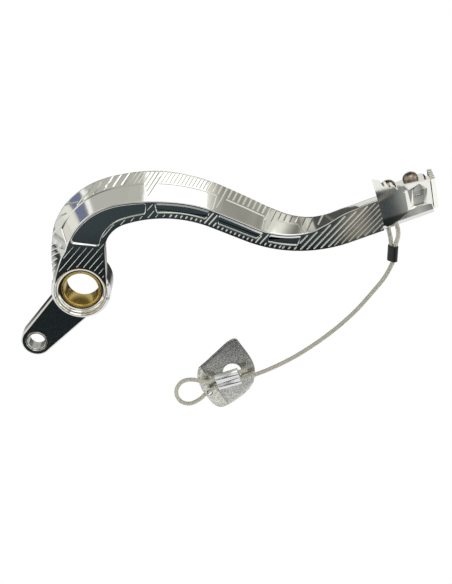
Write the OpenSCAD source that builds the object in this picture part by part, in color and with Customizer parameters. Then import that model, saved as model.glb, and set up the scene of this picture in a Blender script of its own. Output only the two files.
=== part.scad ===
// Rear brake pedal with a bolted toe tip, a pivot bush and a safety cable
// Y runs along the pivot, X forward to the toe tip, Z up, origin at the middle of the pivot bore

/* [Hub] */
// Outer diameter of the pivot hub
hub_d = 42; // [40:0.5:48]
// Width of the hub along the pivot
hub_w = 25; // [22:0.5:32]
// Bevel round the near edge of the hub
hub_bevel = 2.3; // [1:0.1:3]
// Diameter of the seal seat on each side of the hub
seat_d = 35.7; // [33:0.1:36]
// Depth of the near seal seat
seat_depth = 4.2; // [2:0.1:6]
// Outer diameter of the brass pivot bush
bush_d = 28.6; // [26:0.1:31]
// Bore of the brass pivot bush
bush_bore = 24; // [18:0.1:25]
// Length of the brass pivot bush
bush_l = 18; // [14:0.5:18]

/* [Arm] */
// Straight run above the hub, along the lower edge of the arm
riser_l = 31.4; // [28:0.2:40]
// Radius of the knee, along the lower edge
knee_r = 21; // [18:0.5:30]
// Turn of the knee in degrees
knee_turn = 71; // [66:0.5:76]
// Radius of the long arch, along the lower edge
arch_r = 82; // [70:1:95]
// Turn of the long arch in degrees
arch_turn = 42; // [38:0.5:46]
// Straight run down from the arch
slope_l = 25.6; // [15:0.2:40]
// Radius of the valley, along the lower edge
valley_r = 96; // [85:1:110]
// Turn of the valley in degrees
valley_turn = 44.5; // [40:0.5:48]
// Straight run of the toe end
toe_l = 60; // [58:0.5:70]
// Thickness of the arm from the hub to the arch
arm_t = 17.5; // [14:0.5:20]
// Thickness of the arm at the toe end
toe_t = 8.5; // [8:0.1:10]
// Height of the arm at the toe end
toe_h = 23; // [22:0.1:26]
// Small flat on the outer and back edges of the arm
edge_flat = 1.2; // [0.6:0.1:1.4]

/* [Pockets] */
// Depth of the pockets on the near face
pocket_depth = 1.2; // [0.6:0.1:2]
// Height of the band left below the pockets
pocket_foot = 4.2; // [3:0.1:5]
// Width of the rim left between the pockets and the ridge
pocket_rim = 1.2; // [0.8:0.1:2]
// Depth of the pockets on the upper bevel
bevel_pocket_depth = 0.9; // [0.5:0.1:1.5]

/* [Grooves] */
// Direction of the machined grooves in degrees above forward
groove_angle = 50; // [44:1:56]
// Depth of the grooves on the near face
groove_depth = 0.5; // [0.3:0.05:0.8]
// Spacing of the grooves above the hub
hub_pitch = 3.7; // [3.2:0.1:4.5]
// Spacing of the grooves on the band below the pockets
band_pitch = 3; // [2.6:0.1:4]
// Spacing of the grooves on the toe end
toe_pitch = 3.1; // [2.6:0.1:4]
// Bevel along the lower edge under the toe tip
under_bevel = 3.6; // [2.4:0.1:3.8]

/* [Pushrod lug] */
// Distance from the pivot to the pushrod eye
lug_reach = 54; // [48:0.5:60]
// Direction of the lug in degrees from forward
lug_angle = 230.5; // [225:0.5:236]
// Thickness of the lug
lug_t = 10.5; // [8:0.5:12]
// Set back of the lug behind the near face of the hub
lug_back = 4.5; // [3:0.1:6]
// Radius of the rounded lug end
lug_r = 11.3; // [10:0.1:13]
// Bevel round the near face of the lug
lug_bevel = 1.1; // [0.6:0.1:1.6]
// Outer diameter of the steel sleeve in the eye
eye_d = 15; // [13:0.1:16]
// Bore of the steel sleeve in the eye
eye_bore = 12; // [9:0.1:12.4]

/* [Toe tip] */
// Depth of the tip along the pivot direction
tip_depth = 19.3; // [18:0.1:22]
// Thickness of the plate under the screw heads
plate_t = 4.5; // [3.5:0.1:5.5]
// Thickness of the near wall of the tip
wall_t = 3.2; // [2.5:0.1:3.5]
// Thickness of the front wall of the tip
front_t = 2.9; // [2.5:0.1:4]
// Forward lean of the front wall in degrees
front_lean = 10.8; // [8:0.2:16]
// Height of the front wall above the lower edge of the arm
front_top = 28.6; // [27:0.2:34]
// Height of the foot of the front wall above the lower edge of the arm
front_foot = 8; // [6:0.5:10]
// Height of the rear corner tooth above the lower edge of the arm
tooth_top = 42; // [38:0.5:44]

/* [Screws] */
// Thread diameter of the tip screws
screw_d = 6; // [5:0.5:6]
// Length of the tip screws below the head
screw_l = 16; // [12:1:18]
// Diameter of the button heads
head_d = 10.5; // [9:0.1:11]
// Height of the button heads
head_h = 4.4; // [2.5:0.1:5]
// Distance between the two tip screws
screw_pitch = 15.8; // [14:0.1:17]
// Distance of the front screw behind the end of the arm
screw_back = 8; // [7:0.1:10]
// Hexagon socket across flats
socket_af = 4; // [3:0.5:4]

/* [Safety cable] */
// Outer diameter of the coated cable
cable_d = 3; // [2.5:0.1:3.1]
// Hole in the arm for the cable loop
cable_hole = 5.2; // [4.5:0.1:6]
// Wall of the crimped ferrule at the tip
crimp_wall = 0.35; // [0.3:0.05:0.6]
// Length of the crimped ferrule at the tip
crimp_l = 7.5; // [6:0.5:9]
// Wall of the shrunk sleeve over that ferrule
shrink_wall = 0.4; // [0.3:0.05:0.8]
// Length of the shrunk sleeve
shrink_l = 11.6; // [10:0.1:13]
// Diameter of each barrel of the tab ferrule
barrel_d = 6.6; // [5.5:0.1:7]
// Length of the tab ferrule
barrel_l = 17.8; // [15:0.1:20]

/* [Frame tab] */
// Thickness of the tab sheet
tab_t = 2; // [1.5:0.1:2.5]
// Width of the tab along its fold
tab_w = 38; // [36:0.5:42]
// Diameter of the frame bolt hole
bolt_hole = 13.6; // [10:0.1:14]
// Fold angle of the lip in degrees
lip_fold = 40; // [35:1:45]
// Length of the lip from the fold
lip_l = 8.5; // [8:0.1:10]
// Inner radius of the fold
fold_r = 2; // [1.5:0.1:3]
// Diameter of the cable hole in the lip
lip_hole = 7; // [6.5:0.1:7.5]

/* [Hidden] */
$fn = 48;
near_y = -hub_w / 2;
through = 1;
hub_back_bevel = 1;
press_gap = 0.02;

// Lower edge of the arm, as straight runs and turns
spine_x = hub_d / 2 - 2.6;
runs = [[riser_l, 0], [knee_r * knee_turn * PI / 180, -knee_turn], [arch_r * arch_turn * PI / 180, -arch_turn],
    [slope_l, 0], [valley_r * valley_turn * PI / 180, valley_turn], [toe_l, 0]];
steps = [5, 10, 12, 4, 16, 6];
function run_start(i) = i == 0 ? 0 : run_start(i - 1) + runs[i - 1][0];
function heading(i) = i == 0 ? 90 : heading(i - 1) + runs[i - 1][1];
function advance(p, a, run, d) = run[1] == 0
    ? [p[0] + d * cos(a), p[1] + d * sin(a)]
    : let (r = run[0] * 180 / PI / run[1], b = a + run[1] * d / run[0])
        [p[0] + r * (sin(b) - sin(a)), p[1] - r * (cos(b) - cos(a))];
function corner(i) = i == 0 ? [spine_x, 0]
    : advance(corner(i - 1), heading(i - 1), runs[i - 1], runs[i - 1][0]);
corners = [for (i = [0:5]) corner(i)];
starts = [for (i = [0:6]) run_start(i)];
headings = [for (i = [0:6]) heading(i)];
function run_of(s, i = 0) = i == 5 || s < starts[i + 1] ? i : run_of(s, i + 1);
function spine(s) = let (i = run_of(s)) advance(corners[i], headings[i], runs[i], s - starts[i]);
function turn_at(s) = let (i = run_of(s)) headings[i] + runs[i][1] * (s - starts[i]) / runs[i][0];
function across(s, n) = spine(s) + n * [-sin(turn_at(s)), cos(turn_at(s))];
arm_end = starts[6];

// Sections of the arm: run, share of the run, face height, bevel height, share of the thickness lost
sections = [[0, 0, 36, 3.2, 0], [0, 0.3, 35.8, 4.2, 0], [0, 0.8, 31, 9, 0], [1, 0.2, 24.4, 13.6, 0],
    [1, 0.6, 19.1, 15, 0], [1, 1, 15.7, 15.3, 0], [2, 0.4, 12.8, 16.3, 0], [2, 0.8, 12.4, 14.2, 0],
    [3, 0.75, 12, 13, 0], [4, 0.19, 11.3, 12.1, 0.05], [4, 0.45, 12.2, 8.8, 0.22], [4, 0.65, 14.4, 6, 0.44],
    [4, 0.81, 17.8, 3.6, 0.67], [4, 1, toe_h - 1.8, 1.8, 0.89], [5, 0.18, toe_h - 0.8, 0.8, 1],
    [5, 0.3, toe_h, 0, 1], [5, 1, toe_h, 0, 1]];
knots = [for (q = sections) starts[q[0]] + q[1] * runs[q[0]][0]];
values = [for (q = sections) [q[2], q[3], arm_t + (toe_t - arm_t) * q[4]]];
last = len(knots) - 1;
function slope_at(i) = i == 0 || i >= last - 2 ? [0, 0, 0]
    : (values[i + 1] - values[i - 1]) / (knots[i + 1] - knots[i - 1]);
function span_of(s, i = 0) = i == last - 1 || s < knots[i + 1] ? i : span_of(s, i + 1);
function section(s) = let (i = span_of(s), d = knots[i + 1] - knots[i], u = min(1, max(0, (s - knots[i]) / d)))
    (2 * u^3 - 3 * u^2 + 1) * values[i] + (u^3 - 2 * u^2 + u) * d * slope_at(i)
    + (3 * u^2 - 2 * u^3) * values[i + 1] + (u^3 - u^2) * d * slope_at(i + 1);

// Closed outline of the arm at one place, as height above the lower edge and depth behind the near face
function outline(q) = let (h = q[0], w = q[1], t = q[2], low = 0.35 * t)
    [[edge_flat / 2, 0], [h, 0], [h + w, t - edge_flat], [h + w - edge_flat, t], [low, t], [0, t - low],
    [0, edge_flat / 2]];
function at_depth(p, y) = [p[0], near_y + y, p[1]];
stations = concat([for (i = [0:5]) for (k = [0:steps[i] - 1]) starts[i] + runs[i][0] * k / steps[i]],
    [arm_end]);

// Pockets along the arm, each from and to a distance along the lower edge
pockets = [[34.5, 74], [79.5, 112.5], [119.5, 152.5], [158.5, 181.5]];
pocket_lean = 3;
pocket_steps = 10;
bevel_from = 0.07;
bevel_to = 0.57;

// Grooved area of the near face and the lines across it
groove_width = 1.2;
groove_margin = 1.25;
foot_margin = 0.7;
groove_above = 0.5;
groove_run_out = 0.9;
groove_end = 28;
first_line = 36;
band_line = 0;
toe_line = -86;
last_line = -136;

// Toe end: place and direction of the end of the arm
under_from = 34;
toe_end = advance(corners[5], headings[5], runs[5], toe_l);
toe_angle = headings[6];
tip_near = near_y - 10.8;
tip_gap = 0.4;
tip_back = tip_near + tip_depth;
plate_from = -32;
plate_to = 2.2;
plate_round = 4;
plate_web = 0.9;
plate_tuck = 0.5;
tooth_from = [-28.4, 39.6];
tooth_to = [-18, 33.2];
wall_low = 9;
wall_foot = tip_gap + 0.18 - wall_low * tan(front_lean);
window_apex = 28;
wall_top = 31;
screw_y = near_y + toe_t / 2;
cable_hole_back = 27;
cable_hole_up = 8;
notch_w = 1.7;
notch_depth = 4.2;
ladder_w = 1.8;
ladder_depth = 2.2;
ladder_n = 5;

// Lug
lug_front = near_y + lug_back;
lug_outer = 12.6;
lug_inner = 18.6;
eye = lug_reach * [cos(lug_angle), sin(lug_angle)];

// Middle of the tab ferrule and its slope in degrees
cable_y = -8.4;
ferrule_at = [103.6, -72.8];
ferrule_slope = 19.2;
barrel_step = 6.2;
cable_fit = 0.05;

// Middle of the shrunk sleeve
sleeve_at = [217.25, 28.4];
strand_step = cable_d + 0.15;
strand_turn = -40;

// Route of the cable, from its end in the tip ferrule round both loops to the short tail
route = [[216.05, -7.4, 25], [216.05, -7.4, 29], [215.9, -7.1, 34.6], [215.4, -4.6, 39], [214.3, -1.5, 43.5],
    [213.8, 0.2, 49], [214.2, 0, 54.5], [215.3, -3.6, 57.6], [215.4, -8.2, 58.1], [216, -13, 57.4],
    [217.2, -15.8, 53.6], [218.8, -15.4, 48.5], [219.4, -13, 43], [219.1, -10.6, 38.4], [218.5, -9.5, 34],
    [218.45, -9.4, 29], [218.4, -9.3, 24.5], [217.2, -8.7, 20], [212.6, -8.4, 9.4], [204.6, -8.4, -2.3],
    [195, -8.4, -15.2], [185, -8.4, -26.3], [175, -8.4, -35.8], [164.7, -8.4, -44.4], [154.4, -8.4, -52],
    [143.9, -8.4, -58.7], [133.3, -8.4, -64.4], [122.7, -8.4, -69.2], [113.3, -8.4, -72.7],
    [104.6, -8.4, -75.7], [95.9, -8.4, -78.8], [91.2, -8.4, -81.6], [87, -7.2, -86], [82, -6.2, -91.6],
    [75.5, -6.6, -94.8],
    [69.5, -7.3, -93.3], [65.8, -8.3, -87.5], [65.8, -9.3, -80.2], [69.8, -10.2, -74], [76, -11.2, -71.6],
    [84, -11.8, -72.4], [89.2, -10.4, -74], [94, -8.4, -72.9], [102.6, -8.4, -69.9], [111.2, -8.4, -66.9],
    [117.4, -8.4, -64.7]];
cable_sides = 8;

// Tab: fold start and direction, with a along the fold and b across it
tab_at = [83.6, -64.6];
tab_angle = -56.2;
tab_near = -4.7;
tab_len = 34;
tab_corner = 5;
tab_sweep = 19;
tab_spare = 8;
tab_flare = 5.2;
fold_steps = 6;
hole_a = 16.3;
hole_b = 16.5;
lip_hole_a = 20.3;
lip_hole_b = 4.4;

function arc(c, r, a, b, n) = [for (k = [0:n]) c + r * [cos(a + (b - a) * k / n), sin(a + (b - a) * k / n)]];

module along_pivot(front) {
    translate([0, front, 0]) rotate([-90, 0, 0]) children();
}

// Puts x along the toe, y towards the back and z square to the toe, from the end of the arm
module at_toe() {
    translate([toe_end[0], 0, toe_end[1]]) rotate([0, -toe_angle, 0]) children();
}

module blade() {
    rings = [for (s = stations) [for (q = outline(section(s))) at_depth(across(s, q[0]), q[1])]];
    n = len(rings[0]);
    m = len(rings);
    points = [for (r = rings) for (p = r) p];
    sides = [for (i = [0:m - 2]) for (k = [0:n - 1]) for (f = let (a = i * n + k, b = i * n + (k + 1) % n)
        [[a, b, b + n], [a, b + n, a + n]]) f];
    e = (m - 1) * n;
    caps = [for (k = [1:n - 2]) for (f = [[0, k + 1, k], [e, e + k, e + k + 1]]) f];
    polyhedron(points, concat(sides, caps), convexity = 8);
}

// Outline of the grooved area, along the lower edge and back round the pockets and the pivot seat
function near_top(s, less) = section(s)[0] - less;
function groove_area() = let (foot = pocket_foot - foot_margin, ring = seat_d / 2 + 1)
    concat([for (s = [8:6:arm_end - groove_end]) across(s, groove_margin)],
    [for (s = [arm_end - groove_end:-6:pockets[3][1] + 2.5]) across(s, near_top(s, 1.4))],
    [for (k = [3:-1:0]) for (q = let (a = pockets[k][0], b = pockets[k][1])
        concat([across(b + 1.2, near_top(b + 1.2, 1.4))],
        [for (j = [0:5]) across(b - 0.6 + (a - b - 0.1) * j / 5, foot)],
        [across(a - 1.3, near_top(a - 1.3, 1.4))])) q],
    [for (s = [30:-6:12]) across(s, near_top(s, 1.4))],
    [for (a = [146:-9:20]) ring * [cos(a), sin(a)]]);

function sorted(v) = len(v) <= 1 ? v : let (m = v[0])
    concat(sorted([for (x = v) if (x < m) x]), [for (x = v) if (x == m) x],
    sorted([for (x = v) if (x > m) x]));

// Parts of one line that lie inside the area, as distances along the line
function line_parts(area, c) = let (d = [cos(groove_angle), sin(groove_angle)], p = [-d[1], d[0]])
    sorted([for (i = [0:len(area) - 1])
        let (u = area[i], v = area[(i + 1) % len(area)], a = u * p - c, b = v * p - c)
        if ((a < 0) != (b < 0)) (u + (v - u) * a / (a - b)) * d]);

// One V groove: four corners above the face and a keel that rises at both ends
function furrow(c, from, to) = let (d = [cos(groove_angle), sin(groove_angle)], p = [-d[1], d[0]])
    let (w = groove_width / 2 * (1 + groove_above / groove_depth), run = groove_run_out)
    [for (q = [[from, -w, -groove_above], [from, w, -groove_above], [to, w, -groove_above],
        [to, -w, -groove_above], [from + run, 0, groove_depth], [to - run, 0, groove_depth]])
        let (g = q[0] * d + (c + q[1]) * p) [g[0], near_y + q[2], g[1]]];

module furrows() {
    area = groove_area();
    lines = concat([for (c = [first_line:-hub_pitch:band_line + 1]) c],
        [for (c = [band_line:-band_pitch:toe_line + 1]) c], [for (c = [toe_line:-toe_pitch:last_line]) c]);
    for (c = lines) {
        cuts = line_parts(area, c);
        for (i = [0:2:len(cuts) - 2]) if (cuts[i + 1] - cuts[i] > 2.4 * groove_run_out)
            polyhedron(furrow(c, cuts[i], cuts[i + 1]),
                [[0, 1, 2, 3], [0, 4, 1], [3, 2, 5], [0, 3, 5, 4], [1, 4, 5, 2]]);
    }
}

module near_pocket(from, to) {
    top = [for (k = [0:pocket_steps]) let (s = from + (to - from) * k / pocket_steps)
        across(s, section(s)[0] - pocket_rim)];
    low = [for (k = [0:pocket_steps]) let (s = from + (to - pocket_lean - from) * (1 - k / pocket_steps))
        across(s, pocket_foot)];
    translate([0, near_y + pocket_depth, 0]) rotate([90, 0, 0]) linear_extrude(pocket_depth + through)
        polygon(concat(top, low));
}

module bevel_pocket(from, to) {
    function on_bevel(s, v, d) = let (q = section(s), l = norm([q[1], q[2]]))
        at_depth(across(s, q[0] + q[1] * v - d * q[2] / l), q[2] * v + d * q[1] / l);
    points = [for (k = [0:pocket_steps]) let (s = from + (to - from) * k / pocket_steps)
        for (c = [[bevel_from, bevel_pocket_depth], [bevel_from, -through], [bevel_to, -through],
            [bevel_to, bevel_pocket_depth]]) on_bevel(s, c[0], c[1])];
    sides = [for (i = [0:pocket_steps - 1]) for (k = [0:3])
        for (f = let (a = i * 4 + k, b = i * 4 + (k + 1) % 4) [[a, b, b + 4], [a, b + 4, a + 4]]) f];
    e = pocket_steps * 4;
    polyhedron(points, concat(sides, [[0, 2, 1], [0, 3, 2], [e, e + 1, e + 2], [e, e + 2, e + 3]]));
}

module hub() {
    along_pivot(near_y) rotate_extrude() polygon([[0, 0], [hub_d / 2 - hub_bevel, 0], [hub_d / 2, hub_bevel],
        [hub_d / 2, hub_w - hub_back_bevel], [hub_d / 2 - hub_back_bevel, hub_w], [0, hub_w]]);
}

// Outline of the lug, drawn in by some amount: round end, then both sides to the hub
function lug_outline(less) = let (side = [-sin(lug_angle), cos(lug_angle)])
    concat([for (k = [-12:12]) let (a = lug_angle + 7.5 * k) eye + (lug_r - less) * [cos(a), sin(a)]],
    [(lug_inner - less) * side, (less - lug_outer) * side]);

// Three outlines joined into one solid: the drawn-in near face, the foot of the bevel and the back face
module lug() {
    layers = [[0, lug_bevel], [lug_bevel, 0], [lug_t, 0]];
    rings = [for (q = layers) [for (p = lug_outline(q[1])) [p[0], lug_front + q[0], p[1]]]];
    n = len(rings[0]);
    sides = [for (i = [0, 1]) for (k = [0:n - 1]) for (f = let (a = i * n + k, b = i * n + (k + 1) % n)
        [[a, b, b + n], [a, b + n, a + n]]) f];
    caps = [[for (k = [n - 1:-1:0]) k], [for (k = [0:n - 1]) 2 * n + k]];
    polyhedron([for (r = rings) for (p = r) p], concat(sides, caps));
}

module pedal_arm() {
    color("silver") difference() {
        union() {
            blade();
            hub();
            lug();
        }
        furrows();
        for (p = pockets) near_pocket(p[0], p[1]);
        for (p = pockets) bevel_pocket(p[0], p[1]);
        along_pivot(near_y - through) cylinder(d = seat_d, h = seat_depth + through);
        along_pivot(near_y) cylinder(d = bush_d, h = hub_w);
        along_pivot(near_y + seat_depth + bush_l) cylinder(d = seat_d, h = hub_w);
        translate([eye[0], 0, eye[1]]) along_pivot(lug_front - through)
            cylinder(d = eye_d, h = lug_t + 2 * through);
        at_toe() for (u = [0, 1])
            translate([-screw_back - u * screw_pitch, screw_y, toe_h + plate_t - screw_l - 1])
                cylinder(d = screw_d + press_gap, h = screw_l + 2);
        at_toe() translate([-cable_hole_back, near_y - through, cable_hole_up]) rotate([-90, 0, 0])
            cylinder(d = cable_hole, h = toe_t + 2 * through);
        at_toe() translate([-under_from, near_y, 0]) rotate([45, 0, 0])
            translate([0, -under_bevel, -under_bevel / sqrt(2)])
                cube([under_from + through, under_bevel, 2 * under_bevel]);
    }
}

module pivot_bush() {
    color("goldenrod") along_pivot(near_y + seat_depth) difference() {
        cylinder(d = bush_d - press_gap, h = bush_l);
        translate([0, 0, -through]) cylinder(d = bush_bore, h = bush_l + 2 * through);
    }
}

module pushrod_sleeve() {
    color("gainsboro") translate([eye[0], 0, eye[1]]) along_pivot(lug_front) difference() {
        cylinder(d = eye_d - press_gap, h = lug_t);
        translate([0, 0, -through]) cylinder(d = eye_bore, h = lug_t + 2 * through);
    }
}

module near_wall() {
    outside = [[-32.2, tooth_top], tooth_from, tooth_to, [-15.2, wall_top], [5.3, 28.2], [1.9, 10.8],
        [0.9, 10.8], [-2, 12.4], [-6, 12.8], [-11, 13.4], [-16, 12.2], [-20, 10.2], [-25, 8.4], [-29.5, 6.8],
        [-32.8, 6.4], [-34.8, 9], [-34.2, 11.5], [-33.6, 20], [-32.8, 30]];
    window = [[-8.3, 25.5], [-3.6, window_apex], [-1.6, 23.3], [-4.6, 15.4], [-10.6, 15.6]];
    difference() {
        translate([0, tip_near + wall_t, 0]) rotate([90, 0, 0]) linear_extrude(wall_t) difference() {
            polygon(outside);
            polygon(window);
        }
        for (k = [0:2]) {
            p = tooth_from + (tooth_to - tooth_from) * (0.14 + 0.36 * k);
            translate([p[0], tip_near - through, p[1]]) rotate([0, toe_angle - 8, 0])
                translate([-notch_w / 2, 0, -notch_depth])
                    cube([notch_w, wall_t + 2 * through, notch_depth * 2]);
        }
        translate([-15, tip_near, 26]) rotate([28, 0, 0]) translate([0, -10, 0]) cube([25, 10, 10]);
    }
}

module front_wall() {
    lean = front_top * tan(front_lean);
    drop = front_t * tan(front_lean);
    translate([wall_foot, tip_back, 0]) rotate([90, 0, 0]) linear_extrude(tip_depth)
        polygon([[front_foot * tan(front_lean), front_foot],
            [front_foot * tan(front_lean) + front_t, front_foot - drop],
            [lean + front_t, front_top - drop], [lean, front_top]]);
}

// Slots across the top of the front wall
module ladder() {
    gap = (tip_depth - ladder_w) / ladder_n;
    low = front_top - ladder_depth;
    for (k = [1:ladder_n]) translate([wall_foot + low * tan(front_lean), tip_back - k * gap, low])
        cube([3 * front_t, ladder_w, 2 * ladder_depth]);
}

// Plate under the screw heads, round at its front end, with a thin web to the front wall
module plate() {
    top = toe_h + plate_t;
    join = wall_foot + toe_h * tan(front_lean) + front_t / 2;
    translate([0, tip_back, 0]) rotate([90, 0, 0]) linear_extrude(tip_depth - wall_t + plate_tuck)
        polygon(concat([[plate_from, toe_h], [join, toe_h], [join, toe_h + plate_web],
            [plate_to, toe_h + plate_web]],
            arc([plate_to - plate_round, top - plate_round], plate_round, 10, 90, 8), [[plate_from, top]]));
}

module toe_tip() {
    color("lightgray") at_toe() difference() {
        union() {
            near_wall();
            front_wall();
            plate();
        }
        ladder();
        for (u = [0, 1]) translate([-screw_back - u * screw_pitch, screw_y, toe_h - through])
            cylinder(d = screw_d + 0.6, h = plate_t + 2 * through);
    }
}

module tip_screw(u) {
    color("tan") at_toe() translate([-screw_back - u * screw_pitch, screw_y, toe_h + plate_t]) difference() {
        union() {
            translate([0, 0, -screw_l]) cylinder(d = screw_d, h = screw_l + 0.5);
            rotate_extrude() polygon(concat([[0, 0], [head_d / 2, 0], [head_d / 2, 0.6]],
                [for (k = [1:6]) [head_d / 2 * cos(k * 10), 0.6 + (head_h - 0.6) * sin(k * 10) / sin(60)]],
                [[0, head_h]]));
        }
        translate([0, 0, head_h - 2.2]) cylinder(d = socket_af / cos(30), h = 3, $fn = 6);
    }
}

module tip_screw_rear() {
    tip_screw(1);
}

module tip_screw_front() {
    tip_screw(0);
}

module tube(path, d, sides) {
    m = len(path);
    function dir(i) = let (a = path[max(i - 1, 0)], b = path[min(i + 1, m - 1)]) (b - a) / norm(b - a);
    function walk(i, prev) = let (t = dir(i), q = prev - (prev * t) * t, s = q / norm(q))
        i == m - 1 ? [s] : concat([s], walk(i + 1, s));
    start = let (c = cross(dir(0), [1, 0, 0])) c / norm(c);
    side_list = walk(0, start);
    points = [for (i = [0:m - 1]) for (k = [0:sides - 1]) let (a = 360 * k / sides, s = side_list[i])
        path[i] + d / 2 * (cos(a) * s + sin(a) * cross(dir(i), s))];
    faces = [for (i = [0:m - 2]) for (k = [0:sides - 1])
        for (f = let (a = i * sides + k, b = i * sides + (k + 1) % sides)
            [[a, b + sides, b], [a, a + sides, b + sides]]) f];
    polyhedron(points, concat(faces, [[for (k = [0:sides - 1]) k]],
        [[for (k = [sides - 1:-1:0]) (m - 1) * sides + k]]), convexity = 10);
}

module safety_cable() {
    n = len(route);
    function between(i, u) = let (a = route[max(i - 1, 0)], b = route[i])
        let (c = route[i + 1], d = route[min(i + 2, n - 1)])
        0.5 * ((2 * b) + (c - a) * u + (2 * a - 5 * b + 4 * c - d) * u^2 + (3 * b - a - 3 * c + d) * u^3);
    fine = concat([for (i = [0:n - 2]) for (k = [0:(norm(route[i + 1] - route[i]) > 6 ? 1 : 0)])
        between(i, k / 2)], [route[n - 1]]);
    color("darkkhaki") tube(fine, cable_d, cable_sides);
}

// Two round barrels side by side with the cable bores left open
module double_barrel(outer, step, length, bore) {
    linear_extrude(length, center = true) difference() {
        union() {
            for (k = [-1, 1]) translate([k * step / 2, 0]) circle(d = outer);
            square([step, outer * 0.8], center = true);
        }
        for (k = [-1, 1]) translate([k * step / 2, 0]) circle(d = bore);
    }
}

module wrapped(step, inner, wall, length) {
    linear_extrude(length, center = true) difference() {
        union() {
            for (k = [-1, 1]) translate([k * step / 2, 0]) circle(d = inner + 2 * wall);
            square([step, inner + 2 * wall], center = true);
        }
        for (k = [-1, 1]) translate([k * step / 2, 0]) circle(d = inner);
        square([step, inner], center = true);
    }
}

module tip_ferrule() {
    color("silver") translate([sleeve_at[0], cable_y, sleeve_at[1]]) rotate(strand_turn)
        wrapped(strand_step, cable_d + cable_fit, crimp_wall, crimp_l);
}

module tip_sleeve() {
    color("black") translate([sleeve_at[0], cable_y, sleeve_at[1]]) rotate(strand_turn)
        wrapped(strand_step, cable_d + cable_fit + 2 * crimp_wall + cable_fit, shrink_wall, shrink_l);
}

module tab_ferrule() {
    color("silver") translate([ferrule_at[0], cable_y, ferrule_at[1]]) rotate([0, -ferrule_slope, 0])
        rotate([0, 90, 0]) double_barrel(barrel_d, barrel_step, barrel_l, cable_d + cable_fit);
}

// Side view of the folded sheet: plate up, fold towards the near side, lip down
function fold_point(r, a) = [r * cos(a) - fold_r, -r * sin(a)];
function lip_point(r, d) = fold_point(r, lip_fold) + d * [-sin(lip_fold), -cos(lip_fold)];

module folded_sheet() {
    outer = fold_r + tab_t;
    side = concat([[0, tab_len + through], [tab_t, tab_len + through]],
        [for (k = [0:fold_steps]) fold_point(outer, lip_fold * k / fold_steps)],
        [lip_point(outer, lip_l), lip_point(fold_r, lip_l)],
        [for (k = [fold_steps:-1:0]) fold_point(fold_r, lip_fold * k / fold_steps)]);
    translate([-tab_spare, 0, 0]) rotate([90, 0, 90]) linear_extrude(tab_w + 2 * tab_spare) polygon(side);
}

// Everything outside the outline of the plate, above the fold
module plate_waste() {
    far = 2 * tab_spare;
    plate = concat([[0, -through], [tab_w, -through], [tab_w, 0], [tab_w - 1, 10]],
        arc([tab_w - 1 - tab_sweep, tab_len - tab_sweep], tab_sweep, 5, 88, 10),
        arc([tab_corner - tab_flare, tab_len - tab_corner - 1], tab_corner, 95, 168, 5), [[0, 0]]);
    translate([0, tab_t + through, 0]) rotate([90, 0, 0]) linear_extrude(tab_t + 2 * through) difference() {
        translate([-far, 0]) square([tab_w + 2 * far, tab_len + far]);
        polygon(plate);
    }
}

// Everything outside the rounded outline of the lip, in the plane of the lip
module lip_waste() {
    edge = [[0, -tab_t], [0, 0], [1, lip_l * 0.42], [6, lip_l * 0.7], [tab_w - 22, lip_l - 0.01],
        [tab_w - 14, lip_l - 0.01], [tab_w - 8, lip_l * 0.95], [tab_w - 3.5, lip_l * 0.72], [tab_w, 0],
        [tab_w, -tab_t], [tab_w + tab_spare + through, -tab_t], [tab_w + tab_spare + through, lip_l + through],
        [-tab_spare - through, lip_l + through], [-tab_spare - through, -tab_t]];
    translate([0, tab_t + through, 0]) rotate([90, 0, 0]) linear_extrude(tab_t + 2 * through)
        mirror([0, 1]) polygon(edge);
}

module frame_tab() {
    color("slategray") translate([tab_at[0], tab_near, tab_at[1]]) rotate([0, -tab_angle, 0]) difference() {
        folded_sheet();
        plate_waste();
        for (a = [-2 * tab_spare, tab_w]) translate([a, -lip_l - tab_t, -2 * lip_l])
            cube([2 * tab_spare, lip_l + 3 * tab_t, 2 * lip_l]);
        translate([0, -fold_r, 0]) rotate([-lip_fold, 0, 0]) translate([0, fold_r, 0]) {
            lip_waste();
            translate([lip_hole_a, -through, -lip_hole_b]) rotate([-90, 0, 0])
                cylinder(d = lip_hole, h = tab_t + 2 * through);
        }
        translate([hole_a, -through, hole_b]) rotate([-90, 0, 0])
            cylinder(d = bolt_hole, h = tab_t + 2 * through);
    }
}

pedal_arm();
pivot_bush();
pushrod_sleeve();
toe_tip();
tip_screw_rear();
tip_screw_front();
safety_cable();
tip_ferrule();
tip_sleeve();
tab_ferrule();
frame_tab();
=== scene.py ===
import math
import bmesh
import bpy
import numpy as np
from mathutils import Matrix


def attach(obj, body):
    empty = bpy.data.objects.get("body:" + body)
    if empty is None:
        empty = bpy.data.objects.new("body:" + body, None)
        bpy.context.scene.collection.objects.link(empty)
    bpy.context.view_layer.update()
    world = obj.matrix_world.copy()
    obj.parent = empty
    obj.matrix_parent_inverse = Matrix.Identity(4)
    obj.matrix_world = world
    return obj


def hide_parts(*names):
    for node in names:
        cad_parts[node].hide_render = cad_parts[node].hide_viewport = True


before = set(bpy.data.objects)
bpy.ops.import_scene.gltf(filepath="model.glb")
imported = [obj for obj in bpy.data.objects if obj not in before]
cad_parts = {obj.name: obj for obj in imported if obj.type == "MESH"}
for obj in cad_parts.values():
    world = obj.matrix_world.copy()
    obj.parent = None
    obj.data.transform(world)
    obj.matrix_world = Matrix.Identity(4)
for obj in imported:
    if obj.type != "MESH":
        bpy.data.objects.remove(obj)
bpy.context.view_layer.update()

# Lengths are millimetres in the frame of the CAD part. makeMesh and card turn them into metres.

print("stage: helpers")


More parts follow.
